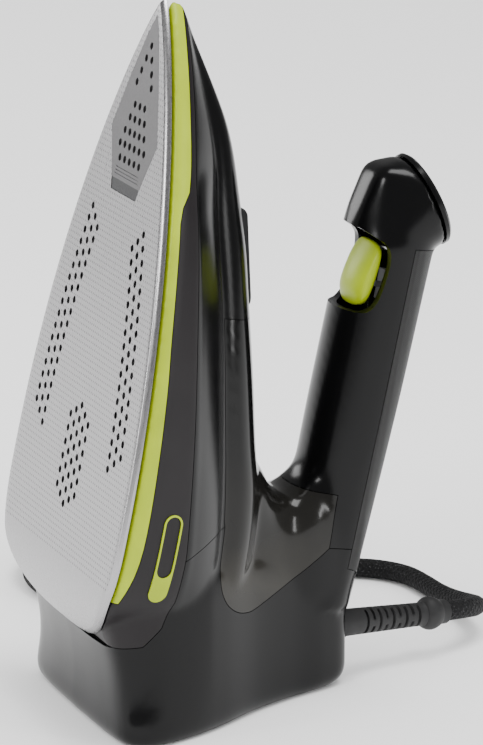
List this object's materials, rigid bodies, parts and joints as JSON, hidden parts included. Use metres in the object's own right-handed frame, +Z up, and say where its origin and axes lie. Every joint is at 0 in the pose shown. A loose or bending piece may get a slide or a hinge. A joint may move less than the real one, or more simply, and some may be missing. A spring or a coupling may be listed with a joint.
{
  "type": "steam iron",
  "caption": "Steam iron standing on its heel, soleplate upright, with a rear handle, thumb trigger, smoke water tank, filler door, braided cord and plug.",
  "frame": {"origin": "middle of the heel foot's footprint, on the surface the iron stands on", "axes": "+Z up, from heel to nose; -Y towards the soleplate's face; +Y towards the handle and the cord exit; +X across, to the soleplate's right seen from the front"},
  "size_m": [0.3062, 0.2198, 0.2771],
  "materials": {
    "sole_metal": "brushed satin with a bright bevel",
    "insert_metal": "satin, dark lower band",
    "cast_metal": "as cast",
    "heater": "drawn tube",
    "steel_parts": "bright",
    "lime_plastic": "satin gloss lime",
    "housing_plastic": "satin dark grey",
    "black_gloss": "gloss black",
    "tank_plastic": "smoke translucent",
    "grip_rubber": "ribbed soft touch",
    "soft_rubber": "matt",
    "inner_plastic": "moulded",
    "white_plastic": "moulded",
    "board_green": "solder mask",
    "cord_braid": "fine braid"
  },
  "bodies": {
    "iron": {"soleplate": "sole_metal", "tip_insert": "insert_metal", "steam_chamber": "cast_metal", "chamber_cover": "cast_metal", "heating_element": "heater", "thermostat": "steel_parts", "thermal_fuse": "white_plastic", "heat_shield": "inner_plastic", "skirt": "lime_plastic", "lower_housing": "housing_plastic", "side_badges": "lime_plastic", "upper_body": "black_gloss", "water_tank": "tank_plastic", "filler_pin": "steel_parts", "filler_neck": "soft_rubber", "spray_nozzle": "housing_plastic", "spray_hose": "white_plastic", "dosing_hose": "white_plastic", "water_pump": "inner_plastic", "dosing_valve": "inner_plastic", "control_board": "board_green", "handle_inner": "black_gloss", "handle_grip": "grip_rubber", "handle_head": "black_gloss", "end_cap": "black_gloss", "trigger_pin": "steel_parts", "trigger_spring": "steel_parts", "trigger_switch": "inner_plastic", "button_pad": "soft_rubber", "cap_board": "board_green", "status_lens": "white_plastic", "heel_shell": "black_gloss", "base_plate": "soft_rubber", "rubber_feet": "soft_rubber", "base_screws": "steel_parts", "board_screws": "steel_parts", "cord_bushing": "soft_rubber", "cord_clamp": "inner_plastic", "terminal_block": "white_plastic", "cord_guard": "soft_rubber", "guard_collar": "soft_rubber", "cord_lead": "cord_braid", "cord_coil": "cord_braid", "cord_tail": "cord_braid", "cord_tie": "soft_rubber", "plug_body": "soft_rubber", "plug_pins": "steel_parts"},
    "trigger_arm": {"trigger": "lime_plastic"},
    "spray_key": {"spray_button": "housing_plastic"},
    "mode_key": {"mode_button": "lime_plastic"},
    "door": {"filler_door": "black_gloss"}
  },
  "joints": [
    {"name": "trigger_swing", "type": "hinge", "parent": "iron", "child": "trigger_arm", "pos_m": [0, 0.07514, 0.17204], "axis": [1, 0, 0], "range_deg": [0, 6], "stiffness_Nm_per_rad": 0.6, "springref_deg": -20.05},
    {"name": "spray_press", "type": "slide", "parent": "iron", "child": "spray_key", "axis": [0, -0.9205, -0.3907], "range_m": [0, 0.0012], "stiffness_N_per_m": 400, "springref_m": -0.001},
    {"name": "mode_press", "type": "slide", "parent": "iron", "child": "mode_key", "axis": [0, -0.9205, -0.3907], "range_m": [0, 0.0012], "stiffness_N_per_m": 400, "springref_m": -0.001},
    {"name": "door_hinge", "type": "hinge", "parent": "iron", "child": "door", "pos_m": [0, 0.00768, 0.19211], "axis": [1, 0, 0], "range_deg": [0, 70]}
  ]
}
